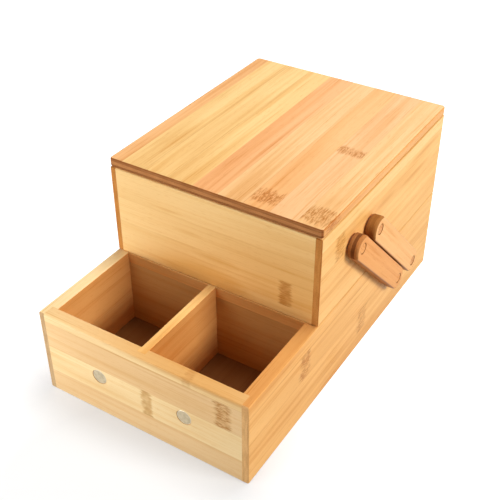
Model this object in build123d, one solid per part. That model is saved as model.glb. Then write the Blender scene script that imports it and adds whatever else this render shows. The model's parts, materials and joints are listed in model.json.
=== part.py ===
from build123d import *

import os
from dataclasses import dataclass
from math import cos, radians, sin

# Two-tier desk box in laminated bamboo: an open base tray with two cells at the front, and a lidded
# box behind them that swings up and back on four parallel arms.
# Millimetres. +X is right, +Y is back and +Z is up. The origin is on the table, under the middle of
# the base.

# Outer sizes
body_width = 160.0
base_depth = 270.0
base_height = 66.0
box_depth = 188.0
box_height = 67.0
lid_thickness = 6.5
lid_corner_radius = 2.5

# Boards and their glue joints
wall = 9.0
corner_lip = 4.5
floor_thickness = 4.0
floor_recess = 3.0
groove_depth = 3.0
groove_play = 0.3
partition = 6.0
dado_depth = 4.5
cross_dado_depth = 2.0
cross_wall_ledge = 0.4
edge_radius = 1.2
foot_edge_radius = 0.4
inner_edge_radius = 0.5

# Seams between the base, the box and the lid
stack_gap = 0.3
lid_gap = 0.3

# Swing arms
arm_length = 98.0
arm_width = 17.3
arm_thickness = 7.3
arm_lean = 45.0
arm_gap = 0.6
arm_edge_radius = 1.6
pivot_height = 36.0
rear_pivot_inset = 52.0

# Pivot screws and washers
shoulder_radius = 2.5
shoulder_clearance = 0.05
screw_head_radius = 3.6
screw_head_thickness = 2.0
screw_head_clearance = 0.4
screw_head_edge = 0.3
thread_radius = 1.75
thread_length = 7.0
pilot_clearance = 0.05
washer_radius = 6.5
washer_thickness = 1.2
washer_clearance = 0.2
pivot_play = 0.1

# Wooden plugs over the screw heads
plug_thickness = 2.0
plug_recess = 0.2
plug_gap = 0.3
plug_clearance = 0.15
plug_edge = 0.5

# Magnets in the front board
magnet_radius = 5.5
magnet_thickness = 3.0
magnet_recess = 0.2
magnet_clearance = 0.15
magnet_edge = 0.3
magnet_inset = 46.7
magnet_height = 32.0

# Lid hinges
hinge_inset = 35.0
leaf_length = 24.0
leaf_width = 7.0
leaf_thickness = 1.0
leaf_play = 0.1
barrel_radius = 1.5
barrel_gap = 0.1
knuckle_count = 3
knuckle_play = 0.1
hinge_pin_radius = 0.8
hinge_pin_clearance = 0.05
hinge_screw_spacing = 12.0
hinge_screw_radius = 0.8
hinge_screw_head_radius = 1.6
hinge_screw_length = 5.0
hinge_screw_clearance = 0.05

SIDES = {"left": -1, "right": 1}


@dataclass
class Case:
    """Outer limits of one glued-up box: front and back along Y, bottom and top along Z."""

    front: float
    back: float
    bottom: float
    top: float


# Places worked out from the sizes above
half_width = body_width / 2
base = Case(-base_depth / 2, base_depth / 2, 0.0, base_height)
box_bottom = base.top + stack_gap
box = Case(base.back - box_depth, base.back, box_bottom, box_bottom + box_height)
lid_bottom = box.top + lid_gap

cross_wall_front = box.front - cross_wall_ledge
cross_wall_back = cross_wall_front + partition
base_floor_top = base.bottom + floor_recess + floor_thickness

pivot_spacing = (arm_width + arm_gap) / sin(radians(arm_lean))
arm_rise = arm_length * sin(radians(arm_lean))
arm_reach = arm_length * cos(radians(arm_lean))
rear_pivot = base.back - rear_pivot_inset
pivots = {"rear": rear_pivot, "front": rear_pivot - pivot_spacing}
upper_pivot_height = pivot_height + arm_rise
arm_stand_off = washer_thickness + pivot_play
counterbore_radius = screw_head_radius + screw_head_clearance
counterbore_depth = pivot_play + screw_head_thickness + plug_gap + plug_thickness + plug_recess

magnet_offset = half_width - magnet_inset
hinge_offset = half_width - hinge_inset
hinge_axis_y = box.back + barrel_gap + barrel_radius
hinge_axis_z = box.top + lid_gap / 2
knuckle_length = leaf_length / knuckle_count


def block(x_limits, y_limits, z_limits):
    """A square-edged block between two limits on each axis, given in either order."""
    limits = [sorted(pair) for pair in (x_limits, y_limits, z_limits)]
    size = [high - low for low, high in limits]
    middle = [(low + high) / 2 for low, high in limits]
    return Pos(*middle) * Box(*size)


def rod(radius, start, end):
    """A round rod along local Z from one height to another."""
    return Pos(0, 0, start) * extrude(Circle(radius), end - start)


def along_x(radius, x_limits, y, z):
    """A round rod along X between two limits."""
    low, high = x_limits
    return Plane(origin=(low, y, z), z_dir=(1, 0, 0)).location * rod(radius, 0, high - low)


def on_side(side, y, z):
    """A place on a side board's outer face, with local Z pointing out of the box."""
    return Plane(origin=(side * half_width, y, z), x_dir=(0, 1, 0), z_dir=(side, 0, 0)).location


# Boards of the base and of the box


def floor_groove(case, play):
    """Space of a case's floor board, its edges short of the groove bottoms by the play."""
    reach = half_width - wall + groove_depth - play
    inset = wall - groove_depth + play
    low = case.bottom + floor_recess
    return block((-reach, reach), (case.front + inset, case.back - inset), (low, low + floor_thickness))


def with_eased_edge(board, point, radius):
    """A board with the edge through a point eased by a radius."""
    return fillet(board.edges().sort_by_distance(point)[0], radius)


def side_board(case, side):
    """Side wall whose rabbeted ends leave a lip that covers the ends of the front and back boards."""
    outer = side * half_width
    inner = outer - side * wall
    board = block((inner, outer), (case.front, case.back), (case.bottom, case.top))
    outer_face = board.faces().sort_by(Axis.X)[-1 if side > 0 else 0]
    outer_edges = outer_face.edges() + board.edges().filter_by(Axis.X)
    upper_edges = [edge for edge in outer_edges if edge.center().Z > case.bottom + edge_radius]
    board = fillet(upper_edges, edge_radius)
    board = with_eased_edge(board, (inner, (case.front + case.back) / 2, case.top), inner_edge_radius)
    bottom_face = board.faces().sort_by(Axis.Z)[0]
    foot_edges = [edge for edge in bottom_face.edges() if abs(edge.center().X - inner) > wall / 4]
    board = fillet(foot_edges, foot_edge_radius)
    lip_inner = outer - side * corner_lip
    for y_limits in ((case.front, case.front + wall), (case.back - wall, case.back)):
        board -= block((inner, lip_inner), y_limits, (case.bottom, case.top))
    return board - floor_groove(case, 0)


def end_board(case, outer_y, inner_y):
    """Front or back wall between the lips of the side boards, its inner edge eased where it is free."""
    reach = half_width - corner_lip
    inner_reach = half_width - wall
    whole = block((-reach, reach), (outer_y, inner_y), (case.bottom, case.top))
    free = block((-inner_reach, inner_reach), (outer_y, inner_y), (case.bottom, case.top))
    board = with_eased_edge(free, (0, inner_y, case.top), inner_edge_radius) + (whole - free)
    board = with_eased_edge(board, (0, outer_y, case.top), edge_radius)
    board = with_eased_edge(board, (0, outer_y, case.bottom), foot_edge_radius)
    return board - floor_groove(case, 0)


def front_board(case):
    """Front wall of a case."""
    return end_board(case, case.front, case.front + wall)


def back_board(case):
    """Back wall of a case."""
    return end_board(case, case.back, case.back - wall)


def drilled_for_pivots(board, side, shift, height):
    """A side board with a blind pilot hole under each pivot screw."""
    for y in pivots.values():
        board -= on_side(side, y + shift, height) * rod(thread_radius + pilot_clearance, -thread_length, 0)
    return board


def cross_wall_space():
    """Wall behind the two cells, with its ends let into the side boards."""
    reach = half_width - wall + dado_depth
    return block((-reach, reach), (cross_wall_front, cross_wall_back), (base_floor_top, base.top))


def divider_space():
    """Wall between the two cells, let into the front board and the cross wall."""
    y_limits = (base.front + wall - dado_depth, cross_wall_front + cross_dado_depth)
    return block((-partition / 2, partition / 2), y_limits, (base_floor_top, base.top))


def with_eased_top(whole, free, along):
    """A partition with its two long top edges eased over its free stretch."""
    top_edges = free.faces().sort_by(Axis.Z)[-1].edges().filter_by(along)
    return fillet(top_edges, inner_edge_radius) + (whole - free)


def base_side(side):
    """Side board of the base, with a dado for the cross wall and holes for the pivot screws."""
    board = side_board(base, side) - cross_wall_space()
    return drilled_for_pivots(board, side, 0.0, pivot_height)


def base_front():
    """Front board of the base, with the divider's dado and two round magnet pockets."""
    board = front_board(base) - divider_space()
    for side in SIDES.values():
        board -= magnet_place(side) * rod(magnet_radius + magnet_clearance, -magnet_pocket_depth(), 0)
    return board


def base_cross_wall():
    """Cross wall with a shallow dado for the end of the divider."""
    inner_reach = half_width - wall
    y_limits = (cross_wall_front, cross_wall_back)
    free = block((-inner_reach, inner_reach), y_limits, (base_floor_top, base.top))
    return with_eased_top(cross_wall_space(), free, Axis.X) - divider_space()


def base_divider():
    """Divider between the cells."""
    x_limits = (-partition / 2, partition / 2)
    free = block(x_limits, (base.front + wall, cross_wall_front), (base_floor_top, base.top))
    return with_eased_top(divider_space(), free, Axis.Y)


def box_side(side):
    """Side board of the box, with holes for the pivot screws."""
    return drilled_for_pivots(side_board(box, side), side, -arm_reach, upper_pivot_height)


def box_back():
    """Back board of the box, with a mortise in its top edge for each hinge leaf."""
    board = back_board(box)
    for side in SIDES.values():
        board -= leaf_mortise(side, box.top - leaf_thickness, box.top)
        board -= hinge_screw_holes(side, box.top, -1)
    return board


def lid():
    """Lid with round corners, eased edges and a mortise in its underside for each hinge leaf."""
    board = block((-half_width, half_width), (box.front, box.back), (lid_bottom, lid_bottom + lid_thickness))
    board = fillet(board.edges().filter_by(Axis.Z), lid_corner_radius)
    flat_faces = board.faces().filter_by(Axis.Z)
    board = fillet([edge for face in flat_faces for edge in face.edges()], edge_radius)
    for side in SIDES.values():
        board -= leaf_mortise(side, lid_bottom, lid_bottom + leaf_thickness)
        board -= hinge_screw_holes(side, lid_bottom, 1)
    return board


# Magnets


def magnet_pocket_depth():
    """Depth of a magnet's pocket from the face of the front board."""
    return magnet_thickness + magnet_recess


def magnet_place(side):
    """Middle of a magnet on the front face, with local Z pointing forward."""
    origin = (side * magnet_offset, base.front, base.bottom + magnet_height)
    return Plane(origin=origin, x_dir=(1, 0, 0), z_dir=(0, -1, 0)).location


def magnet(side):
    """Disc magnet seated on the bottom of its pocket."""
    disc = rod(magnet_radius, -magnet_pocket_depth(), -magnet_recess)
    return magnet_place(side) * chamfer(disc.edges(), magnet_edge)


# Swing arms and their pivots


def arm_place(side, y):
    """Lower pivot on an arm's back face, with local X along the arm and local Z pointing out of the box."""
    origin = (side * (half_width + arm_stand_off), y, pivot_height)
    towards_box = (0, -cos(radians(arm_lean)), sin(radians(arm_lean)))
    return Plane(origin=origin, x_dir=towards_box, z_dir=(side, 0, 0)).location


def arm(side, y):
    """Flat arm with round ends, bored at both pivots and counterbored for the screw heads and plugs."""
    outline = Pos(arm_length / 2, 0) * SlotCenterToCenter(arm_length, arm_width)
    bar = extrude(outline, arm_thickness)
    bar = fillet(bar.faces().sort_by(Axis.Z)[-1].edges(), arm_edge_radius)
    bar = fillet(bar.faces().sort_by(Axis.Z)[0].edges(), inner_edge_radius)
    web = arm_thickness - counterbore_depth
    for x in (0, arm_length):
        bar -= Pos(x, 0) * rod(shoulder_radius + shoulder_clearance, 0, arm_thickness)
        bar -= Pos(x, 0) * rod(counterbore_radius, web, arm_thickness)
    return arm_place(side, y) * bar


def arm_plugs(side, y):
    """Two wooden plugs that close an arm's counterbores over the screw heads."""
    outer_face = arm_thickness - plug_recess
    plug = rod(counterbore_radius - plug_clearance, outer_face - plug_thickness, outer_face)
    plug = chamfer(plug.edges().sort_by(Axis.Z)[-1], plug_edge)
    return Compound([arm_place(side, y) * Pos(x, 0) * plug for x in (0, arm_length)])


def pivot_screw():
    """Shoulder screw along local Z, with its shoulder seated on the board at zero height."""
    shoulder_end = arm_stand_off + arm_thickness - counterbore_depth + pivot_play
    head = rod(screw_head_radius, shoulder_end, shoulder_end + screw_head_thickness)
    head = chamfer(head.edges().sort_by(Axis.Z)[-1], screw_head_edge)
    return rod(thread_radius, -thread_length, 0) + rod(shoulder_radius, 0, shoulder_end) + head


def pivot_washer():
    """Thin washer that keeps an arm off its board."""
    hole = rod(shoulder_radius + washer_clearance, 0, washer_thickness)
    return rod(washer_radius, 0, washer_thickness) - hole


def at_pivots(piece, shift, height):
    """Copies of a piece at the pivots of both sides, shifted back and raised from the base's own."""
    return Compound(
        [on_side(side, y + shift, height) * piece for side in SIDES.values() for y in pivots.values()]
    )


# Lid hinges


def knuckle_limits(side, number):
    """Ends along X of one of a hinge's knuckles, counted from the left."""
    left = side * hinge_offset - leaf_length / 2
    return left + number * knuckle_length, left + (number + 1) * knuckle_length


def leaf_mortise(side, low, high):
    """Space cut for a hinge leaf in the edge of the back board or of the lid."""
    middle = side * hinge_offset
    reach = leaf_length / 2 + leaf_play
    return block((middle - reach, middle + reach), (box.back - leaf_width, box.back), (low, high))


def hinge_screw(clearance):
    """Countersunk screw pointing down local Z, its flat head at zero height."""
    head_height = leaf_thickness
    shank = rod(hinge_screw_radius + clearance, -hinge_screw_length - clearance, 0)
    cone = Cone(hinge_screw_radius + clearance, hinge_screw_head_radius + clearance, head_height)
    return shank + Pos(0, 0, -head_height / 2) * cone


def hinge_screw_places(side, z, pointing):
    """Places of a leaf's two screws, with the tips pointing up for 1 and down for -1."""
    y = box.back - leaf_width / 2
    for step in (-1, 1):
        x = side * hinge_offset + step * hinge_screw_spacing / 2
        yield Plane(origin=(x, y, z), x_dir=(1, 0, 0), z_dir=(0, 0, -pointing)).location


def hinge_screw_holes(side, z, pointing):
    """Holes for a leaf's two screws."""
    tool = hinge_screw(hinge_screw_clearance)
    return Compound([place * tool for place in hinge_screw_places(side, z, pointing)])


def hinge_screws(z, pointing):
    """All screws of the leaves on one side of the seam."""
    screw = hinge_screw(0)
    places = [place for side in SIDES.values() for place in hinge_screw_places(side, z, pointing)]
    return Compound([place * screw for place in places])


def hinge_leaf(side, low, own_knuckles, screw_z, pointing):
    """Leaf with its knuckles round the pin, cleared where the other leaf's knuckles turn."""
    middle = side * hinge_offset
    x_limits = (middle - leaf_length / 2, middle + leaf_length / 2)
    plate = block(x_limits, (box.back - leaf_width, hinge_axis_y), (low, low + leaf_thickness))
    for number in own_knuckles:
        plate += along_x(barrel_radius, knuckle_limits(side, number), hinge_axis_y, hinge_axis_z)
    for number in set(range(knuckle_count)) - set(own_knuckles):
        left, right = knuckle_limits(side, number)
        room = (left - knuckle_play, right + knuckle_play)
        plate -= along_x(barrel_radius + knuckle_play, room, hinge_axis_y, hinge_axis_z)
    plate -= along_x(hinge_pin_radius + hinge_pin_clearance, x_limits, hinge_axis_y, hinge_axis_z)
    return plate - hinge_screw_holes(side, screw_z, pointing)


def hinge_box_leaf(side):
    """Leaf let into the back board, with the outer knuckles."""
    return hinge_leaf(side, box.top - leaf_thickness, range(0, knuckle_count, 2), box.top, -1)


def hinge_lid_leaf(side):
    """Leaf let into the lid, with the knuckle between the outer ones."""
    return hinge_leaf(side, lid_bottom, range(1, knuckle_count, 2), lid_bottom, 1)


def hinge_pin(side):
    """Pin through all the knuckles of one hinge."""
    left = knuckle_limits(side, 0)[0]
    return along_x(hinge_pin_radius, (left, left + leaf_length), hinge_axis_y, hinge_axis_z)


def pieces():
    """Every piece of the desk box by its name."""
    made = {
        "base_front": base_front(),
        "base_back": back_board(base),
        "base_floor": floor_groove(base, groove_play),
        "base_cross_wall": base_cross_wall(),
        "base_divider": base_divider(),
        "base_pivot_screws": at_pivots(pivot_screw(), 0.0, pivot_height),
        "base_pivot_washers": at_pivots(pivot_washer(), 0.0, pivot_height),
        "box_front": front_board(box),
        "box_back": box_back(),
        "box_floor": floor_groove(box, groove_play),
        "box_pivot_screws": at_pivots(pivot_screw(), -arm_reach, upper_pivot_height),
        "box_pivot_washers": at_pivots(pivot_washer(), -arm_reach, upper_pivot_height),
        "hinge_box_screws": hinge_screws(box.top, -1),
        "hinge_lid_screws": hinge_screws(lid_bottom, 1),
        "lid": lid(),
    }
    for name, side in SIDES.items():
        made[f"base_{name}_side"] = base_side(side)
        made[f"box_{name}_side"] = box_side(side)
        made[f"{name}_magnet"] = magnet(side)
        made[f"{name}_hinge_box_leaf"] = hinge_box_leaf(side)
        made[f"{name}_hinge_lid_leaf"] = hinge_lid_leaf(side)
        made[f"{name}_hinge_pin"] = hinge_pin(side)
        for place, y in pivots.items():
            made[f"{name}_{place}_arm"] = arm(side, y)
            made[f"{name}_{place}_arm_plugs"] = arm_plugs(side, y)
    return made


os.makedirs("parts", exist_ok=True)
for piece_name, piece in pieces().items():
    export_step(piece, f"parts/{piece_name}.step")
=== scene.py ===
"""Looks of the swing-arm desk box: camera, studio light, bamboo, metal and screws."""

import json
import random
from dataclasses import dataclass
from math import atan2, cos, pi, radians

import bmesh
import bpy
from mathutils import Matrix, Vector

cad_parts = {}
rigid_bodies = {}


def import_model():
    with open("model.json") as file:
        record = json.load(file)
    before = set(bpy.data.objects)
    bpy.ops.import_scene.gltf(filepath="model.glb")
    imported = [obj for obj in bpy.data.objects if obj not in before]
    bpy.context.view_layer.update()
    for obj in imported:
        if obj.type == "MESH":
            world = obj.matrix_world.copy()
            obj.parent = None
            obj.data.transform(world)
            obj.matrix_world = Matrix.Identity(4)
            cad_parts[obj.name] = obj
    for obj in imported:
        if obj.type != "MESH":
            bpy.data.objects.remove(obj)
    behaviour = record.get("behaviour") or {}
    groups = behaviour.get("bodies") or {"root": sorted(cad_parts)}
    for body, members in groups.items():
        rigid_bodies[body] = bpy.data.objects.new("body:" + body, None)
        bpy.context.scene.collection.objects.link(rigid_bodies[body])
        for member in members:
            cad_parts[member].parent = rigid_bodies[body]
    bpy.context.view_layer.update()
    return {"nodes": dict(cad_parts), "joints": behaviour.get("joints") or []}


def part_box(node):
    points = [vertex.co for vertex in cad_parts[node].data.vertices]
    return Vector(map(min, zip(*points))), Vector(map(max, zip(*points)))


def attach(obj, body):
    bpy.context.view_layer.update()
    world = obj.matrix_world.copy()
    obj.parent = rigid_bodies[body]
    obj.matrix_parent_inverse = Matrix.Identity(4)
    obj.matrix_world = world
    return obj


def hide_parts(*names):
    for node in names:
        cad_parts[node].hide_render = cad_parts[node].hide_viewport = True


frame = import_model()

# Pieces and places are in metres, and the grain of the wood and the screws are laid out in millimetres
MM = 0.001

# Camera, as the photograph was taken
CAMERA_PLACE = (0.26698, -0.4316, 0.43332)
CAMERA_DOWN = 36.14
CAMERA_TURN = 32.07
CAMERA_LENS = 63.49

# Studio: the floor's glow is given near a middle and far from it, each with its distance and level.
# Each softbox has a place, a width and height, and the level that it gives a white card facing it.
FLOOR_SIZE = 4.0
FLOOR_DROP = 0.0002
FLOOR_COLOUR = (0.42, 0.42, 0.42, 1.0)
FLOOR_GLOW_MIDDLE = (0.025, -0.185, 0.0)
FLOOR_GLOW = {"near": (0.08, 0.47), "far": (0.23, 1.0)}
SKY_LEVEL = 0.12
LIGHT_AIM = (0.0, 0.0, 0.06)
SOFTBOXES = {
    "top_softbox": ((0.1, 0.22, 1.3), (0.5, 0.5), 0.58),
    "right_softbox": ((1.05, 0.02, 0.66), (0.5, 0.3), 0.78),
    "front_softbox": ((-0.15, -0.47, 0.24), (0.2, 0.2), 0.2),
    "front_strip": ((-0.32, -0.47, 0.05), (0.3, 0.06), 0.44),
}


def paint(red, green, blue):
    """A colour given in the 0 to 255 steps of a screen, as the linear values that a shader takes."""
    steps = [step / 255 for step in (red, green, blue)]
    linear = [s / 12.92 if s <= 0.04045 else ((s + 0.055) / 1.055) ** 2.4 for s in steps]
    return (*linear, 1.0)


# Bamboo tones, from the palest strip to the darkest
CREAM = paint(250, 220, 166)
STRAW = paint(253, 212, 144)
OAT = paint(251, 205, 148)
TAN = paint(240, 203, 150)
SAND = paint(250, 199, 146)
HONEY = paint(250, 197, 123)
APRICOT = paint(250, 193, 132)
GOLD = paint(245, 195, 117)
CORAL = paint(250, 189, 132)
PEACH = paint(248, 187, 119)
AMBER = paint(244, 180, 105)
# Darker tone of the walls and rims in and round the cells: painted shade there
SHADED_WHEAT = paint(227, 166, 97)
OAK = paint(234, 163, 89)
CHESTNUT = paint(224, 156, 90)
# Darker tone of the cross wall's lower strips: painted shade at the back of the cells
SHADED_HAZEL = paint(206, 156, 94)
# Floor of the cells, far darker than the bamboo: painted shade deep in the cells
SHADED_CELL_FLOOR = paint(136, 91, 49)

# What the strips of hidden boards are drawn from
COMMON_TONES = (STRAW, HONEY, HONEY, PEACH, GOLD, AMBER)

# Rims that differ from the strips of their boards
LID_RIM = paint(240, 180, 112)
FRONT_RIM = paint(242, 205, 148)
# Narrow sides of the arms: a brown edge deepened with painted shade, standing in for the shadow along the
# arms' lower edges
SHADED_ARM_RIM = paint(170, 106, 46)

# End grain: one colour, or three plies from a board's back to its face
LIP_END = (paint(236, 186, 124),)
LEFT_LIP_END = (paint(206, 172, 128),)
BOX_LIP_END = (paint(211, 143, 71),)
LID_ENDS = (paint(158, 104, 58), paint(196, 134, 80), paint(170, 112, 64))
FRONT_ARM_ENDS = (paint(164, 109, 60), paint(120, 72, 34), paint(188, 126, 70))
REAR_ARM_ENDS = (paint(154, 101, 48), paint(147, 95, 42), paint(170, 115, 58))

# Metal and nylon, each clean and then worn, and the painted highlight on the rim of the nickel discs
STEEL = (paint(206, 203, 198), paint(174, 170, 162))
BRASS = (paint(214, 178, 110), paint(176, 138, 78))
NICKEL = (paint(200, 186, 156), paint(180, 166, 137))
NICKEL_RIM_HIGHLIGHT = paint(222, 212, 190)
NYLON = (paint(128, 88, 50), paint(110, 74, 42))

# What darker marks leave of the wood's own colour
DRIFT_TINT = (0.92, 0.86, 0.78, 1.0)
STREAK_TINT = (0.92, 0.82, 0.68, 1.0)
FIBRE_TINT = (0.86, 0.72, 0.54, 1.0)
VESSEL_TINT = (0.82, 0.66, 0.48, 1.0)
KNOT_TINT = (0.60, 0.42, 0.22, 1.0)
# Streaks in the wood, and painted shade on some boards
STREAK_AND_SHADE_TINT = (0.80, 0.62, 0.40, 1.0)
GLUE_TINT = (0.62, 0.45, 0.28, 1.0)
PORE_TINT = (0.66, 0.54, 0.42, 1.0)
# Eased edges: rubbed a little, and on some boards painted shade in the seams
EDGE_WEAR_AND_SHADE_TINT = (0.66, 0.48, 0.32, 1.0)

# How boards lie: the axes along the grain, across the strips and through the board
LAID_FLAT = "YXZ"
LAID_ALONG_SIDE = "YZX"
LAID_ALONG_FRONT = "XZY"

# Strips of a board, the glue line between two of them, and how far along the fibres of the next one start.
# The upper strip of an arm ends past the arm's own edge.
STRIP_WIDTH = 19.0
GLUE_LINE = 0.3
STRIP_SHIFT = 83.0
ARM_STRIP_END = 30.0

# What chance has to choose from on hidden boards
LEAST_FIRST_STRIP = 7.0
KNOT_SHARE = 0.7
KNOT_PLACES = (0.05, 0.95)
KNOT_REACHES = (5.0, 9.0)
KNOT_DEPTHS = (0.5, 1.0)


class Shader:
    """Node tree of one material, with short calls that add a node and hand back its result."""

    def __init__(self, name):
        self.material = bpy.data.materials.new(name)
        self.material.use_nodes = True
        self.tree = self.material.node_tree
        self.surface = self.tree.nodes["Principled BSDF"]

    def feed(self, socket, value):
        """Joins a result to a socket, or sets the socket to a plain value."""
        if isinstance(value, bpy.types.NodeSocket):
            self.tree.links.new(value, socket)
        else:
            socket.default_value = value

    def node(self, kind, feeds, **settings):
        """A new node with its settings made and its sockets fed."""
        node = self.tree.nodes.new("ShaderNode" + kind)
        for name, value in settings.items():
            setattr(node, name, value)
        for socket, value in feeds.items():
            self.feed(node.inputs[socket], value)
        return node

    def place(self):
        """Place on a piece, in metres."""
        return self.node("TexCoord", {}).outputs["Object"]

    def math(self, operation, *values):
        """One step of arithmetic."""
        return self.node("Math", dict(enumerate(values)), operation=operation).outputs[0]

    def vector(self, operation, *values):
        """One step of vector arithmetic."""
        return self.node("VectorMath", dict(enumerate(values)), operation=operation).outputs[0]

    def length(self, vector):
        """How long a vector is."""
        return self.node("VectorMath", {0: vector}, operation="LENGTH").outputs["Value"]

    def split(self, vector):
        """The three parts of a vector, by the names of their axes."""
        parts = self.node("SeparateXYZ", {0: vector}).outputs
        return dict(zip("XYZ", parts))

    def joined(self, *parts):
        """A vector put together from three parts."""
        return self.node("CombineXYZ", dict(enumerate(parts))).outputs[0]

    def between(self, share, least, most):
        """A value that goes from the least to the most as a share goes from 0 to 1."""
        return self.math("MULTIPLY_ADD", share, most - least, least)

    def ease(self, value, start, end):
        """A soft step that is 0 at the start value and 1 at the end value."""
        feeds = {"Value": value, "From Min": start, "From Max": end}
        return self.node("MapRange", feeds, interpolation_type="SMOOTHSTEP").outputs["Result"]

    def noise(self, place, size, detail=0.0, roughness=0.5, waves=0.0):
        """Soft noise whose patches are of a given size along each axis."""
        feeds = {
            "Vector": self.vector("DIVIDE", place, size),
            "Scale": 1.0,
            "Detail": detail,
            "Roughness": roughness,
            "Distortion": waves,
        }
        return self.node("TexNoise", feeds).outputs[0]

    def grain(self, place, grain):
        """Marks of one kind of grain, from none to full."""
        noise = self.noise(place, grain.size, grain.detail, grain.roughness, grain.waves)
        return self.ease(noise, grain.start, grain.full)

    def steps(self, value, stops):
        """Plain steps of colour by value, from pairs of a place between 0 and 1 and a colour."""
        node = self.node("ValToRGB", {0: value})
        node.color_ramp.interpolation = "CONSTANT"
        elements = node.color_ramp.elements
        while len(elements) < len(stops):
            elements.new(0.5)
        while len(elements) > len(stops):
            elements.remove(elements[-1])
        for element, (place, colour) in zip(elements, stops):
            element.position = place
            element.color = colour
        return node.outputs["Color"]

    def mixed(self, share, first, second, blend="MIX"):
        """Two colours mixed by a share of the second."""
        node = self.node("Mix", {0: share, 6: first, 7: second}, data_type="RGBA", blend_type=blend)
        return node.outputs[2]

    def tinted(self, colour, share, tint):
        """A colour darkened to a tint's part of it where the share is 1."""
        return self.mixed(share, colour, tint, "MULTIPLY")

    def dulled(self, roughness, *marks):
        """A roughness changed by marks, each with what it adds where it is full."""
        for mark, change in marks:
            roughness = self.math("MULTIPLY_ADD", mark, change, roughness)
        return roughness

    def finish(self, colour, roughness, height, relief, **constants):
        """Feeds the surface: varied colour, gloss and relief, and values that are the same all over."""
        self.feed(self.surface.inputs["Base Color"], colour)
        self.feed(self.surface.inputs["Roughness"], roughness)
        bump = self.node("Bump", {"Height": height, "Distance": relief, "Strength": 1.0})
        self.feed(self.surface.inputs["Normal"], bump.outputs["Normal"])
        for name, value in constants.items():
            self.surface.inputs[name.replace("_", " ")].default_value = value
        return self.material


@dataclass
class Grain:
    """Marks made by soft noise: their size each way, and the noise at which they start and are full."""

    size: tuple
    detail: float
    start: float
    full: float
    roughness: float = 0.5
    waves: float = 0.0


# Marks in the wood, with their sizes along the grain, across the strips and through the board
DRIFT = Grain((120, 30, 30), detail=1.0, start=0.35, full=0.7)
STREAK = Grain((170, 4, 4), detail=2.0, start=0.42, full=0.7)
FIBRE = Grain((70, 0.9, 0.9), detail=3.0, start=0.52, full=0.68, roughness=0.6)
BUNDLE = Grain((55, 8, 8), detail=1.0, start=0.4, full=0.62)
VESSEL = Grain((7, 0.4, 0.4), detail=1.0, start=0.6, full=0.75)
KNOT_STROKE = Grain((4.2, 0.8, 0.8), detail=1.0, start=0.42, full=0.54, waves=0.5)
KNOT_PATCH = Grain((6.0, 5.0, 5.0), detail=1.0, start=0.35, full=0.6)
KNOT_WOBBLE_SIZE = (12, 1.6, 1.6)
PLY_LAYER = Grain((1, 14, 1.6), detail=1.0, start=0.35, full=0.65)
PORE_SIZE = (0.7, 0.7, 0.7)

# Least and most of what varies from place to place in these marks, and how strong pores and layers are
BUNDLE_STRENGTH = (0.3, 1.2)
KNOT_WOBBLE = (-0.7, 0.7)
KNOT_PATCHINESS = (0.6, 1.0)
STREAK_AND_SHADE_BREAKUP = (0.75, 1.0)
GLUE_STRENGTH = (0.4, 1.6)
PORE_STRENGTH = 0.4

# Where marks start and where they are full: by how squarely a face meets an axis, by the distance from the
# middle of a pore or of a streak or patch of painted shade, and as the part of a knot's reach or a glue
# line's width that is full
RIM_FACING = (0.5, 0.8)
EDGE_FACING = (0.97, 0.75)
PORE_FADE = (0.42, 0.2)
STREAK_AND_SHADE_FADE = (1.0, 0.1)
KNOT_CORE = 0.45
GLUE_CORE = 0.3

# Marks on metal and nylon, with their sizes in metres, then how strong the tarnish is, and the shares of a
# nickel disc's radius between which the painted highlight on its rim starts
TARNISH = Grain((0.004, 0.004, 0.004), detail=3.0, start=0.35, full=0.7)
FINGER_MARK = Grain((0.003, 0.003, 0.003), detail=3.0, start=0.35, full=0.68)
MOULD_CLOUD = Grain((0.003, 0.003, 0.003), detail=2.0, start=0.3, full=0.7)
METAL_SCRATCH_SIZE = (0.0009, 0.00015, 0.00015)
NICKEL_SCRATCH_SIZE = (0.002, 0.0002, 0.0002)
MOULD_GRAIN_SIZE = (0.0003, 0.0003, 0.0003)
TARNISH_STRENGTH = 0.7
NICKEL_HIGHLIGHT_START = (0.86, 0.94)

# How rough the finishes are, and how deep their relief is
LACQUER_ROUGHNESS = 0.48
STEEL_ROUGHNESS = 0.3
BRASS_ROUGHNESS = 0.24
MAGNET_ROUGHNESS = 0.42
NYLON_ROUGHNESS = 0.42
WOOD_RELIEF = 0.00008
METAL_RELIEF = 0.000012
MAGNET_RELIEF = 0.00001
NYLON_RELIEF = 0.00001


@dataclass
class Knot:
    """Joint of the bamboo cane: its strip, its place from the board's low end, and its reach each way.

    Depth is how dark it is, and fill is how much of that lies between its strokes.
    """

    strip: int
    place: float
    reach: float = 8.0
    depth: float = 1.0
    fill: float = 0.35


@dataclass
class StreakAndShade:
    """Soft darker patch, a brown streak in the wood on most boards and painted shade on some: its middle
    along and across the board, its reach each way, and how dark it is.
    """

    along: float
    across: float
    reach: float
    width: float
    depth: float = 1.0


@dataclass
class Board:
    """How a board is laid up: its strips' colours from the low edge, where the first strip is narrower.

    Ends are the colours of its end grain, and a rim is the tone of its narrow faces where that differs.
    Turn is about X, before the board is laid. Streaks, lines and edges say how strong the fibres, the glue
    lines and the darkened edges are: rubbed a little, and on some boards painted shade in the seams. End
    grain starts and is full where a face meets the grain as squarely as end_facing says.
    """

    lay: str
    first_strip: float
    strips: list
    knots: tuple = ()
    streaks_and_shade: tuple = ()
    ends: tuple = LIP_END
    rim: tuple = None
    strip_width: float = STRIP_WIDTH
    turn: float = 0.0
    streaks: float = 1.0
    lines: float = 0.3
    edges: float = 0.25
    end_facing: tuple = (0.25, 0.55)


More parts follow.
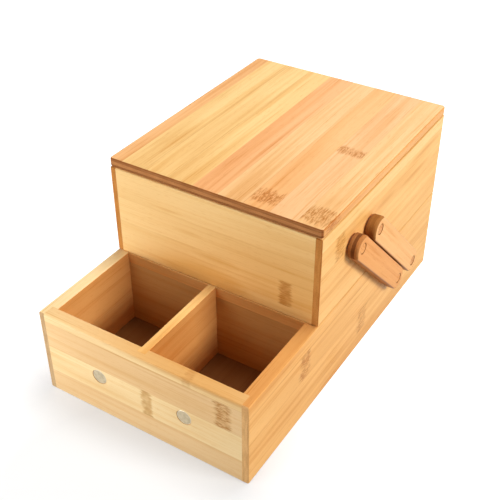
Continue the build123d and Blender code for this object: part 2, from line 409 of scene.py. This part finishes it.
def chance_board(node, lay, **details):
    """A board that the photograph doesn't show, with strips and knots by a chance that never changes."""
    chance = random.Random(node)
    low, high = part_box(node)
    axis = "XYZ".index
    width = (high - low)[axis(lay[1])] / MM
    length = (high - low)[axis(lay[0])] / MM
    first = chance.uniform(LEAST_FIRST_STRIP, STRIP_WIDTH)
    strips = [chance.choice(COMMON_TONES) for _ in range(int((width - first) / STRIP_WIDTH) + 2)]
    knots = [
        Knot(
            number,
            place=chance.uniform(*KNOT_PLACES) * length,
            reach=chance.uniform(*KNOT_REACHES),
            depth=chance.uniform(*KNOT_DEPTHS),
        )
        for number in range(len(strips))
        if chance.random() < KNOT_SHARE
    ]
    return Board(lay, first, strips, tuple(knots), **details)


def low_corner(node, turn):
    """Low corner of a node in millimetres, in axes turned about X."""
    turned = Matrix.Rotation(turn, 3, "X")
    places = [turned @ vertex.co for vertex in frame["nodes"][node].data.vertices]
    return Vector([min(place[axis] for place in places) for axis in range(3)]) / MM


def thickness(node, lay):
    """How thick a board is, in millimetres."""
    low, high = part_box(node)
    return (high - low)["XYZ".index(lay[2])] / MM


def laid_out(shader, board, node):
    """Millimetres along, across and through a board, and how squarely its face meets each axis."""
    coordinates = shader.node("TexCoord", {}).outputs
    turn = (board.turn, 0.0, 0.0)
    feeds = {
        "Vector": coordinates["Object"],
        "Location": -low_corner(node, board.turn),
        "Rotation": turn,
        "Scale": (1 / MM, 1 / MM, 1 / MM),
    }
    place = shader.split(shader.node("Mapping", feeds).outputs[0])
    feeds = {"Vector": coordinates["Normal"], "Rotation": turn}
    facing = shader.node("Mapping", feeds, vector_type="VECTOR").outputs[0]
    facing = shader.split(shader.vector("ABSOLUTE", facing))
    return [place[axis] for axis in board.lay], [facing[axis] for axis in board.lay]


def strip_lay(shader, board, along, across, through):
    """How many strips lie below a place, its strip's number, and its place among that strip's fibres."""
    shift = board.strip_width - board.first_strip
    strips_over = shader.math("DIVIDE", shader.math("ADD", across, shift), board.strip_width)
    strip = shader.math("FLOOR", strips_over)
    shifted = shader.math("MULTIPLY_ADD", strip, STRIP_SHIFT, along)
    return strips_over, strip, shader.joined(shifted, across, through)


def strip_colour(shader, board, strip, facing_across):
    """The tone of each strip, or of the board's rim."""
    count = len(board.strips)
    tones = [(number / count, tone) for number, tone in enumerate(board.strips)]
    wood = shader.steps(shader.math("DIVIDE", shader.math("ADD", strip, 0.5), count), tones)
    if board.rim:
        wood = shader.mixed(shader.ease(facing_across, *RIM_FACING), wood, board.rim)
    return wood


def bundled_fibres(shader, strand):
    """Fibres, stronger where they lie in bundles."""
    strength = shader.between(shader.grain(strand, BUNDLE), *BUNDLE_STRENGTH)
    return shader.math("MULTIPLY", shader.grain(strand, FIBRE), strength)


def knot_marks(shader, board, along, strip, strand):
    """How dark the knots make a place: short strokes over a fainter patch, with ragged ends."""
    wobble = shader.between(shader.noise(strand, KNOT_WOBBLE_SIZE, detail=2.0), *KNOT_WOBBLE)
    stroke = shader.grain(strand, KNOT_STROKE)
    marks = 0.0
    for knot in board.knots:
        ragged = shader.math("MULTIPLY_ADD", wobble, knot.reach, shader.math("SUBTRACT", along, knot.place))
        distance = shader.math("ABSOLUTE", ragged)
        near = shader.ease(distance, knot.reach, knot.reach * KNOT_CORE)
        near = shader.math("MULTIPLY", near, knot.depth)
        here = shader.math("MULTIPLY", near, shader.math("COMPARE", strip, knot.strip, 0.5))
        mark = shader.math("MULTIPLY", here, shader.between(stroke, knot.fill, 1.0))
        marks = shader.math("MAXIMUM", marks, mark)
    patchy = shader.between(shader.grain(strand, KNOT_PATCH), *KNOT_PATCHINESS)
    return shader.math("MULTIPLY", marks, patchy)


def streak_and_shade_cover(shader, board, along, across):
    """How strongly the streaks and the painted shade darken a place."""
    cover = 0.0
    for streak_and_shade in board.streaks_and_shade:
        ways = (
            shader.math("DIVIDE", shader.math("SUBTRACT", along, streak_and_shade.along), streak_and_shade.reach),
            shader.math("DIVIDE", shader.math("SUBTRACT", across, streak_and_shade.across), streak_and_shade.width),
        )
        away = shader.length(shader.joined(*ways, 0.0))
        here = shader.math("MULTIPLY", shader.ease(away, *STREAK_AND_SHADE_FADE), streak_and_shade.depth)
        cover = shader.math("MAXIMUM", cover, here)
    return cover


def glue_lines(shader, board, strips_over):
    """Thin lines between the strips, some of them hardly seen."""
    share = shader.math("FRACT", strips_over)
    nearer = shader.math("MINIMUM", share, shader.math("SUBTRACT", 1.0, share))
    to_edge = shader.math("MULTIPLY", nearer, board.strip_width)
    number = shader.math("ROUND", strips_over)
    chance = shader.node("TexWhiteNoise", {"W": number}, noise_dimensions="1D").outputs["Value"]
    least, most = (strength * board.lines for strength in GLUE_STRENGTH)
    line = shader.ease(to_edge, GLUE_LINE, GLUE_LINE * GLUE_CORE)
    return shader.math("MULTIPLY", line, shader.between(chance, least, most))


def end_grain(shader, board, node, across, through):
    """Browner plies with layers and pores, and the pores by themselves."""
    plies = [(number / len(board.ends), colour) for number, colour in enumerate(board.ends)]
    end = shader.steps(shader.math("DIVIDE", through, thickness(node, board.lay)), plies)
    cells = shader.vector("DIVIDE", shader.joined(across, through, 0.0), PORE_SIZE)
    pore = shader.node("TexVoronoi", {"Vector": cells, "Scale": 1.0}).outputs["Distance"]
    pore = shader.ease(pore, *PORE_FADE)
    layer = shader.grain(shader.joined(0.0, across, through), PLY_LAYER)
    for mark in (pore, layer):
        end = shader.tinted(end, shader.math("MULTIPLY", mark, PORE_STRENGTH), PORE_TINT)
    return end, pore


def bamboo(node, board):
    """Laminated bamboo with satin lacquer: strips, fibres, knots, glue lines and brown end grain."""
    shader = Shader("bamboo_" + node)
    (along, across, through), (facing_along, facing_across, facing_through) = laid_out(shader, board, node)
    strips_over, strip, strand = strip_lay(shader, board, along, across, through)
    drift = shader.grain(strand, DRIFT)
    streak = shader.grain(strand, STREAK)
    fibre = bundled_fibres(shader, strand)
    vessel = shader.grain(strand, VESSEL)
    knot = knot_marks(shader, board, along, strip, strand)
    line = glue_lines(shader, board, strips_over)

    # Streaks and painted shade, broken up by the finer streaks
    streak_and_shade = streak_and_shade_cover(shader, board, along, across)
    streak_and_shade = shader.math("MULTIPLY", streak_and_shade, shader.between(streak, *STREAK_AND_SHADE_BREAKUP))

    # Marks that darken the strips, each with its strength
    face = strip_colour(shader, board, strip, facing_across)
    for mark, strength, tint in (
        (drift, 0.8 * board.streaks, DRIFT_TINT),
        (streak, 0.7 * board.streaks, STREAK_TINT),
        (fibre, 0.6 * board.streaks, FIBRE_TINT),
        (vessel, 0.5, VESSEL_TINT),
        (streak_and_shade, 1.0, STREAK_AND_SHADE_TINT),
        (knot, 1.0, KNOT_TINT),
        (line, 1.0, GLUE_TINT),
    ):
        face = shader.tinted(face, shader.math("MULTIPLY", mark, strength), tint)

    # Brown ends, and eased edges that are darkened: rubbed a little, and painted shade in the seams of some
    # boards
    end, pore = end_grain(shader, board, node, across, through)
    on_end = shader.ease(facing_along, *board.end_facing)
    squarest = shader.math("MAXIMUM", facing_along, shader.math("MAXIMUM", facing_across, facing_through))
    edge = shader.ease(squarest, *EDGE_FACING)
    colour = shader.mixed(on_end, face, end)
    colour = shader.tinted(colour, shader.math("MULTIPLY", edge, board.edges), EDGE_WEAR_AND_SHADE_TINT)

    # Lacquer that is duller on fibres and ends, and dents where the marks are
    gloss = shader.dulled(LACQUER_ROUGHNESS, (fibre, 0.1), (on_end, 0.4), (edge, -0.06))
    dents = shader.math("MULTIPLY", pore, on_end)
    for mark, depth in ((line, 0.7), (knot, 0.2), (fibre, 0.3), (vessel, 0.35)):
        dents = shader.math("MULTIPLY_ADD", mark, depth, dents)
    height = shader.math("SUBTRACT", 1.0, dents)
    return shader.finish(colour, gloss, height, WOOD_RELIEF, Specular_IOR_Level=0.15)


def satin_metal(name, tones, roughness):
    """Plain metal with a fine brushed grain and a little tarnish."""
    shader = Shader(name)
    place = shader.place()
    tarnish = shader.grain(place, TARNISH)
    scratch = shader.noise(place, METAL_SCRATCH_SIZE, detail=2.0)
    colour = shader.mixed(shader.math("MULTIPLY", tarnish, TARNISH_STRENGTH), *tones)
    gloss = shader.dulled(roughness, (scratch, 0.16), (tarnish, 0.12))
    return shader.finish(colour, gloss, scratch, METAL_RELIEF, Metallic=1.0)


def magnet_nickel(node):
    """Nickel disc with a painted highlight on its rim and a dulled, fingered middle."""
    shader = Shader("nickel_" + node)
    low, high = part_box(node)
    middle = (low + high) / 2
    radius = (high - low).x / 2
    place = shader.place()
    flat = shader.vector("MULTIPLY", shader.vector("SUBTRACT", place, middle), (1.0, 0.0, 1.0))
    # A brighter ring at the disc's edge: painted highlight, with a glossier finish there
    rim = shader.ease(shader.length(flat), *(radius * share for share in NICKEL_HIGHLIGHT_START))
    smear = shader.grain(place, FINGER_MARK)
    colour = shader.mixed(rim, shader.mixed(smear, *NICKEL), NICKEL_RIM_HIGHLIGHT)
    scratch = shader.noise(place, NICKEL_SCRATCH_SIZE, detail=2.0)
    gloss = shader.dulled(MAGNET_ROUGHNESS, (rim, -0.12), (smear, 0.12))
    return shader.finish(colour, gloss, scratch, MAGNET_RELIEF, Metallic=0.85)


def washer_nylon():
    """Brown nylon with a faint moulded grain."""
    shader = Shader("nylon")
    place = shader.place()
    grain = shader.noise(place, MOULD_GRAIN_SIZE, detail=1.0)
    colour = shader.mixed(shader.grain(place, MOULD_CLOUD), *NYLON)
    gloss = shader.dulled(NYLON_ROUGHNESS, (grain, 0.1))
    return shader.finish(colour, gloss, grain, NYLON_RELIEF, Specular_IOR_Level=0.45)


# Boards that the photograph shows, with their strips, knots, streaks and painted shade where it shows them
SHOWN_BOARDS = {
    "lid": Board(
        LAID_FLAT, 10.5, [APRICOT, STRAW, STRAW, STRAW, CORAL, OAT, APRICOT, SAND, OAT],
        (Knot(6, 14.0, 9.0, 1.0, 0.3), Knot(8, 13.0, 11.0, 1.0, 0.3), Knot(7, 91.0, 6.5, 0.9, 0.3)),
        (
            # The first patch darkens the lid towards its front edge: painted shade, as the light comes from
            # behind.
            StreakAndShade(-10.0, 85.0, 130.0, 150.0, 0.45),
            StreakAndShade(33.0, 113.0, 20.0, 10.0, 0.5), StreakAndShade(30.0, 150.0, 18.0, 10.0, 0.45),
            StreakAndShade(60.0, 82.5, 85.0, 2.6, 0.7), StreakAndShade(94.0, 28.6, 130.0, 1.4, 0.7),
            StreakAndShade(100.0, 49.0, 120.0, 1.4, 0.6), StreakAndShade(70.0, 58.0, 90.0, 1.6, 0.35),
        ),
        # Its eased edges are darkened strongly: painted shade along the edges and the seam under the lid.
        ends=LID_ENDS, rim=LID_RIM, strip_width=18.75, streaks=1.25, lines=0.22, edges=0.9,
    ),
    "box_front": Board(
        LAID_ALONG_FRONT, 7.0, [STRAW] * 5, (Knot(1, 131.5, 5.5, 0.85, 0.75),),
        (
            # The first four patches darken the board towards the bottom and towards its right end: partly
            # brown in the wood, and partly painted shade where less light falls.
            StreakAndShade(85.0, 0.0, 120.0, 11.0, 1.1), StreakAndShade(140.0, 18.0, 135.0, 58.0, 0.92),
            StreakAndShade(70.0, 3.0, 75.0, 27.0, 1.5), StreakAndShade(85.0, 22.0, 45.0, 14.0, 0.9),
            StreakAndShade(61.0, 25.5, 42.0, 2.4, 0.75), StreakAndShade(60.0, 36.0, 22.0, 4.0, 0.6),
            StreakAndShade(132.0, 34.5, 20.0, 2.0, 0.95), StreakAndShade(42.0, 48.0, 20.0, 1.6, 0.5),
        ),
        streaks=0.6, lines=0.1, edges=0.0,
    ),
    "box_right_side": Board(
        LAID_ALONG_SIDE, 19.0, [HONEY, HONEY, HONEY, STRAW], (Knot(2, 25.0, 7.5, 0.8, 0.35),),
        (
            StreakAndShade(120.0, 46.0, 62.0, 10.0, 0.45), StreakAndShade(140.0, 41.5, 40.0, 3.4, 1.15),
            StreakAndShade(155.0, 53.0, 44.0, 3.6, 1.05), StreakAndShade(92.0, 45.0, 30.0, 4.2, 0.9),
            StreakAndShade(42.0, 54.0, 28.0, 9.0, 0.4), StreakAndShade(100.0, 62.0, 120.0, 9.0, 0.24),
            # The last patch, a thin dark line along the top edge, is painted shadow in the seam under the
            # lid.
            StreakAndShade(20.0, 33.0, 110.0, 90.0, 0.2), StreakAndShade(94.0, 66.2, 150.0, 0.85, 2.0),
        ),
        # Its eased edges are darkened strongly, painted shade for the seam under the lid; this also dims
        # the highlight along its top edge.
        ends=BOX_LIP_END, lines=0.1, edges=0.8,
    ),
    "base_front": Board(
        LAID_ALONG_FRONT, 18.0, [TAN, CREAM, TAN, CREAM],
        (Knot(1, 80.0, 5.0, 0.8, 0.9), Knot(2, 137.5, 7.0), Knot(3, 112.0, 4.0, 0.4, 0.6)),
        (
            StreakAndShade(75.0, 59.6, 90.0, 1.3, 0.9), StreakAndShade(100.0, 56.5, 60.0, 1.2, 0.5),
            StreakAndShade(76.0, 16.5, 90.0, 2.0, 0.45), StreakAndShade(60.0, 47.0, 60.0, 2.0, 0.2),
            # The first patch on this line darkens the top strip and the rim away from the left end: painted
            # shade, as the light falls from the left.
            StreakAndShade(112.0, 68.0, 125.0, 9.0, 1.25), StreakAndShade(118.0, 29.0, 45.0, 16.0, 0.2),
            StreakAndShade(30.0, 58.0, 75.0, 14.0, 0.2),
        ),
        rim=FRONT_RIM, strip_width=21.0, lines=0.2, edges=0.1,
    ),
    "base_right_side": Board(
        LAID_ALONG_SIDE, 12.5, [HONEY] * 4,
        (Knot(2, 68.0, 8.0, 0.9, 0.2), Knot(1, 151.0, 8.5, 0.75, 0.2)),
        (
            StreakAndShade(60.0, 33.0, 200.0, 200.0, 0.42), StreakAndShade(75.0, 55.2, 110.0, 2.2, 0.8),
            StreakAndShade(75.0, 55.2, 120.0, 0.9, 1.6), StreakAndShade(30.0, 63.0, 110.0, 10.0, 0.66),
            StreakAndShade(110.0, 2.0, 220.0, 14.0, 0.7),
            StreakAndShade(70.0, 11.5, 90.0, 2.4, 0.7), StreakAndShade(40.0, 28.0, 45.0, 1.5, 0.45),
        ),
        # Its rim takes the darker tone of the cell walls: painted shade.
        rim=SHADED_WHEAT, strip_width=21.2, streaks=1.4, lines=0.2,
    ),
    # Inner wall of the left cell in darker strips, painted shade; its rim in the palest tone, painted
    # light.
    "base_left_side": Board(
        LAID_ALONG_SIDE, 12.0, [SHADED_WHEAT] * 5, ends=LEFT_LIP_END, rim=CREAM, lines=0.15
    ),
    # Divider in darker strips, painted shade in the cells; its rim paler, painted light.
    "base_divider": Board(
        LAID_ALONG_SIDE, 15.0, [SHADED_WHEAT] * 4,
        streaks_and_shade=(StreakAndShade(0.0, 59.0, 0.6, 40.0, 2.0), StreakAndShade(0.0, 35.0, 70.0, 90.0, 0.9)),
        rim=STRAW, lines=0.15,
    ),
    # Lower strips darker than the top one, and a patch that darkens the wall towards the bottom: painted
    # shade at the back of the cells.
    "base_cross_wall": Board(
        LAID_ALONG_FRONT, 13.0, [SHADED_HAZEL, SHADED_HAZEL, SHADED_HAZEL, SHADED_WHEAT],
        streaks_and_shade=(StreakAndShade(85.0, 0.0, 200.0, 45.0),), rim=HONEY, lines=0.15,
    ),
    # The floor of the cells takes the darkest tone: painted shade deep in the cells.
    "base_floor": Board(LAID_FLAT, 14.0, [SHADED_CELL_FLOOR] * 9, lines=0.2),
}


def arm_reach():
    """From an arm's lower pivot to its upper one."""
    pivots = {joint["name"]: Vector(joint["pos_m"]) for joint in frame["joints"]}
    return pivots["box_level"] - pivots["swing"]


def arm_boards():
    """Arms and their plugs, laid along the lean of the arms. The plies of a left arm run the other way."""
    reach = arm_reach()
    lean = atan2(reach.z, -reach.y)
    boards = {}
    for side in ("left", "right"):
        for place, tone, plug, ring_shade, plies in (
            ("front", OAK, OAK, 0.3, FRONT_ARM_ENDS), ("rear", PEACH, CHESTNUT, 0.8, REAR_ARM_ENDS)
        ):
            ends = plies if side == "right" else plies[::-1]
            laid = {"ends": ends, "turn": lean, "lines": 0.0, "end_facing": (0.04, 0.2)}
            arm = f"{side}_{place}_arm"
            # An arm's narrow sides take the dark rim: a brown edge and painted shade.
            boards[arm] = Board(LAID_ALONG_SIDE, ARM_STRIP_END, [tone], rim=SHADED_ARM_RIM, **laid)
            # Each plug's eased edge is darkened into a ring: painted shade in the gap round the plug.
            boards[arm + "_plugs"] = Board(LAID_ALONG_SIDE, ARM_STRIP_END, [plug], edges=ring_shade, **laid)
    return boards


def hidden_boards():
    """Boards that the photograph doesn't show."""
    boards = {"box_left_side": chance_board("box_left_side", LAID_ALONG_SIDE, ends=BOX_LIP_END)}
    for node, lay in (
        ("base_back", LAID_ALONG_FRONT), ("box_back", LAID_ALONG_FRONT), ("box_floor", LAID_FLAT)
    ):
        boards[node] = chance_board(node, lay)
    return boards


def dress(node, material):
    """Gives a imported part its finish."""
    for slot in frame["nodes"][node].material_slots:
        slot.material = material


# Screws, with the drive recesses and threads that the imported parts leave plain
HEAD_SEGMENTS = 48
PIVOT_HEAD = {"radius": 3.6, "thickness": 2.0, "edge": 0.3}
PIVOT_SHOULDER_RADIUS = 2.5
PIVOT_THREAD = {"radius": 1.75, "core": 1.35, "pitch": 1.0, "length": 7.0}
PIVOT_SOCKET = {"width": 3.0, "depth": 1.3}
HINGE_HEAD = {"radius": 1.58, "depth": 1.0, "edge": 0.06, "edge_height": 0.05}
HINGE_THREAD = {"radius": 0.8, "core": 0.58, "pitch": 0.6, "length": 5.0}
HINGE_CROSS = {"radius": 0.95, "depth": 0.6}
HINGE_SCREW_SPACING = 12.0

# The threadless tip of a screw and its point, and the inset and the taper that sink a recess into a head
TIP_LENGTH = 1.0
POINT_LENGTH = 0.8
RECESS_INSET = 0.2
RECESS_TAPER = 0.08

# Points of a turned screw that are one when they lie within this of each other
MERGE_WITHIN = 0.001

# Shares of an edge that its rounding takes off, and of a cross recess that its narrow places leave
EDGE_ROUNDING = 0.3
CROSS_WAIST = 0.12


def threaded(thread, start):
    """Outline of a pointed thread from its tip up to a start height, as pairs of radius and height."""
    tip = start - thread["length"]
    turns = int((thread["length"] - TIP_LENGTH) / thread["pitch"])
    outline = [(0.0, tip), (thread["core"], tip + POINT_LENGTH)]
    for turn in range(turns):
        low = start - (turns - turn) * thread["pitch"]
        outline += [(thread["core"], low), (thread["radius"], low + thread["pitch"] / 2)]
    return outline + [(thread["core"], start)]


def hexagon(angle):
    """Distance from the middle to a hexagon of unit half width, at an angle."""
    return 1 / cos((angle % (pi / 3)) - pi / 6)


def four_points(angle):
    """Distance from the middle to a rounded cross of unit reach, at an angle."""
    return (1 + CROSS_WAIST) / 2 + (1 - CROSS_WAIST) / 2 * cos(4 * angle)


def screw(outline, recess, reach, depth):
    """A turned screw along local Z, with a recess of a given outline sunk into its head."""
    mesh = bmesh.new()
    line = [mesh.verts.new((radius * MM, 0, height * MM)) for radius, height in outline]
    edges = [mesh.edges.new(pair) for pair in zip(line, line[1:])]
    bmesh.ops.spin(
        mesh,
        geom=line + edges,
        cent=(0, 0, 0),
        axis=(0, 0, 1),
        angle=2 * pi,
        steps=HEAD_SEGMENTS,
        use_merge=True,
    )
    bmesh.ops.remove_doubles(mesh, verts=mesh.verts, dist=MERGE_WITHIN * MM)
    rim = [edge for edge in mesh.edges if edge.is_boundary]
    head = bmesh.ops.edgeloop_fill(mesh, edges=rim)["faces"][0]
    bmesh.ops.recalc_face_normals(mesh, faces=mesh.faces)
    bmesh.ops.inset_individual(mesh, faces=[head], thickness=RECESS_INSET * MM)
    for vert in head.verts:
        angle = atan2(vert.co.y, vert.co.x)
        out = Vector((vert.co.x, vert.co.y)).normalized() * recess(angle) * reach * MM
        vert.co.x, vert.co.y = out
    bmesh.ops.inset_individual(mesh, faces=[head], thickness=RECESS_TAPER * MM, depth=-depth * MM)
    bmesh.ops.recalc_face_normals(mesh, faces=mesh.faces)
    for face in mesh.faces:
        face.smooth = True
    return mesh


def pivot_screw(length):
    """Shoulder screw with a flat head and a hexagon socket, its shoulder from zero height to a length."""
    top = length + PIVOT_HEAD["thickness"]
    radius, edge = PIVOT_HEAD["radius"], PIVOT_HEAD["edge"]
    rounding = EDGE_ROUNDING * edge
    outline = threaded(PIVOT_THREAD, 0.0) + [
        (PIVOT_SHOULDER_RADIUS, 0.0), (PIVOT_SHOULDER_RADIUS, length), (radius, length),
        (radius, top - edge), (radius - rounding, top - rounding), (radius - edge, top),
    ]
    return screw(outline, hexagon, PIVOT_SOCKET["width"] / 2, PIVOT_SOCKET["depth"])


def hinge_screw():
    """Small countersunk screw with a cross recess, its flat head at zero height."""
    radius = HINGE_HEAD["radius"]
    outline = threaded(HINGE_THREAD, -HINGE_HEAD["depth"])
    outline += [(radius, -HINGE_HEAD["edge_height"]), (radius - HINGE_HEAD["edge"], 0.0)]
    return screw(outline, four_points, HINGE_CROSS["radius"], HINGE_CROSS["depth"])


def set_of_screws(node, model, places, body, material):
    """Copies of a screw at their places, each turned by chance, in place of a packed set."""
    chance = random.Random(node)
    whole = bpy.data.meshes.new(node + "_driven")
    part = bpy.data.meshes.new("one_screw")
    together = bmesh.new()
    for place, direction in places:
        one = model.copy()
        turned = Vector(direction).to_track_quat("Z", "Y").to_matrix().to_4x4()
        rolled = Matrix.Rotation(chance.uniform(0, 2 * pi), 4, "Z")
        one.transform(Matrix.Translation(place) @ turned @ rolled)
        one.to_mesh(part)
        together.from_mesh(part)
        one.free()
    together.to_mesh(whole)
    together.free()
    bpy.data.meshes.remove(part)
    whole.materials.append(material)
    piece = bpy.data.objects.new(node + "_driven", whole)
    bpy.context.collection.objects.link(piece)
    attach(piece, body)
    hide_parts(node)


def pivot_places(shift):
    """Middles of the screws' seats on the side boards, from the arms' joints moved by a shift."""
    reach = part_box("base_right_side")[1].x
    for joint in frame["joints"]:
        if joint["parent"] == "base":
            x, y, z = Vector(joint["pos_m"]) + shift
            side = 1 if x > 0 else -1
            yield Vector((side * reach, y, z)), (side, 0, 0)


def hinge_places(half, head_height, pointing):
    """Middles of the heads of the screws in the hinge leaves of one side of the seam."""
    low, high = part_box(f"hinge_{half}_screws")
    y = (low.y + high.y) / 2
    for side in ("left", "right"):
        low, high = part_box(f"{side}_hinge_{half}_leaf")
        middle = (low.x + high.x) / 2
        for step in (-1, 1):
            x = middle + step * HINGE_SCREW_SPACING * MM / 2
            yield Vector((x, y, head_height)), (0, 0, pointing)


def add_screws(steel, brass):
    """Puts driven screws in place of all the plain ones."""
    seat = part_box("base_right_side")[1].x
    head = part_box("base_pivot_screws")[1].x
    model = pivot_screw((head - seat) / MM - PIVOT_HEAD["thickness"])
    set_of_screws("base_pivot_screws", model, pivot_places(Vector()), "base", steel)
    set_of_screws("box_pivot_screws", model, pivot_places(arm_reach()), "top_box", steel)
    model.free()
    model = hinge_screw()
    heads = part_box("hinge_box_screws")[1].z
    set_of_screws("hinge_box_screws", model, hinge_places("box", heads, 1), "top_box", brass)
    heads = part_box("hinge_lid_screws")[0].z
    set_of_screws("hinge_lid_screws", model, hinge_places("lid", heads, -1), "lid", brass)
    model.free()


def dress_parts():
    """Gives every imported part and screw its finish."""
    boards = SHOWN_BOARDS | arm_boards() | hidden_boards()
    for node, board in boards.items():
        dress(node, bamboo(node, board))
    steel = satin_metal("steel", STEEL, STEEL_ROUGHNESS)
    brass = satin_metal("hinge_metal", BRASS, BRASS_ROUGHNESS)
    nylon = washer_nylon()
    for node in ("left_magnet", "right_magnet"):
        dress(node, magnet_nickel(node))
    for node in ("base_pivot_washers", "box_pivot_washers"):
        dress(node, nylon)
    for side in ("left", "right"):
        for part in ("box_leaf", "lid_leaf", "pin"):
            dress(f"{side}_hinge_{part}", brass)
    add_screws(steel, brass)


def set_camera():
    """Camera at the photograph's place, turn and lens."""
    data = bpy.data.cameras.new("camera")
    data.lens = CAMERA_LENS
    camera = bpy.data.objects.new("camera", data)
    camera.location = CAMERA_PLACE
    camera.rotation_euler = (radians(90 - CAMERA_DOWN), 0, radians(CAMERA_TURN))
    bpy.context.collection.objects.link(camera)
    bpy.context.scene.camera = camera


def set_softbox(name, place, size, level):
    """Flat lamp turned to the object, with the power that gives its level to a white card at its aim."""
    data = bpy.data.lights.new(name, "AREA")
    data.shape = "RECTANGLE"
    data.size, data.size_y = size
    way = Vector(LIGHT_AIM) - Vector(place)
    data.energy = level * (pi * way.length) ** 2
    lamp = bpy.data.objects.new(name, data)
    lamp.location = place
    lamp.rotation_euler = way.to_track_quat("-Z", "Y").to_euler()
    bpy.context.collection.objects.link(lamp)


def seen_directly(tree):
    """1 for what the camera sees straight, in a reflection or through glass, and 0 for other light."""
    path = tree.nodes.new("ShaderNodeLightPath")
    seen = path.outputs["Is Camera Ray"]
    for ray in ("Is Glossy Ray", "Is Transmission Ray"):
        both = tree.nodes.new("ShaderNodeMath")
        both.operation = "MAXIMUM"
        tree.links.new(seen, both.inputs[0])
        tree.links.new(path.outputs[ray], both.inputs[1])
        seen = both.outputs[0]
    return seen


def set_sky():
    """Even white light from all round, with a plain white background."""
    world = bpy.data.worlds.new("studio")
    world.use_nodes = True
    bpy.context.scene.world = world
    tree = world.node_tree
    light = tree.nodes["Background"]
    light.inputs["Color"].default_value = (1, 1, 1, 1)
    light.inputs["Strength"].default_value = SKY_LEVEL
    backdrop = tree.nodes.new("ShaderNodeBackground")
    backdrop.inputs["Color"].default_value = (1, 1, 1, 1)
    chosen = tree.nodes.new("ShaderNodeMixShader")
    tree.links.new(seen_directly(tree), chosen.inputs[0])
    tree.links.new(light.outputs[0], chosen.inputs[1])
    tree.links.new(backdrop.outputs[0], chosen.inputs[2])
    tree.links.new(chosen.outputs[0], tree.nodes["World Output"].inputs["Surface"])


def floor_material():
    """Matt floor with a glow that lights nothing, and that grows from the floor's middle outwards."""
    shader = Shader("floor")
    shader.tree.nodes.remove(shader.surface)
    distance = shader.length(shader.vector("SUBTRACT", shader.place(), FLOOR_GLOW_MIDDLE))
    feeds = {"Value": distance}
    for end, (reach, level) in zip(("Min", "Max"), (FLOOR_GLOW["near"], FLOOR_GLOW["far"])):
        feeds["From " + end] = reach
        feeds["To " + end] = level
    level = shader.node("MapRange", feeds).outputs["Result"]
    strength = shader.math("MULTIPLY", seen_directly(shader.tree), level)
    matt = shader.node("BsdfDiffuse", {"Color": FLOOR_COLOUR}).outputs[0]
    glow = shader.node("Emission", {"Strength": strength}).outputs[0]
    both = shader.node("AddShader", {0: matt, 1: glow}).outputs[0]
    shader.feed(shader.tree.nodes["Material Output"].inputs["Surface"], both)
    return shader.material


def set_floor():
    """Pale floor that takes the shadow and meets the white background."""
    mesh = bmesh.new()
    bmesh.ops.create_grid(mesh, x_segments=1, y_segments=1, size=FLOOR_SIZE / 2)
    bmesh.ops.translate(mesh, verts=mesh.verts, vec=(0, 0, -FLOOR_DROP))
    data = bpy.data.meshes.new("floor")
    mesh.to_mesh(data)
    mesh.free()
    data.materials.append(floor_material())
    floor = bpy.data.objects.new("floor", data)
    bpy.context.collection.objects.link(floor)


def set_studio():
    """Camera, lamps, background and floor."""
    bpy.context.scene.view_settings.view_transform = "Standard"
    set_camera()
    set_sky()
    set_floor()
    for name, (place, size, level) in SOFTBOXES.items():
        set_softbox(name, place, size, level)


set_studio()
dress_parts()
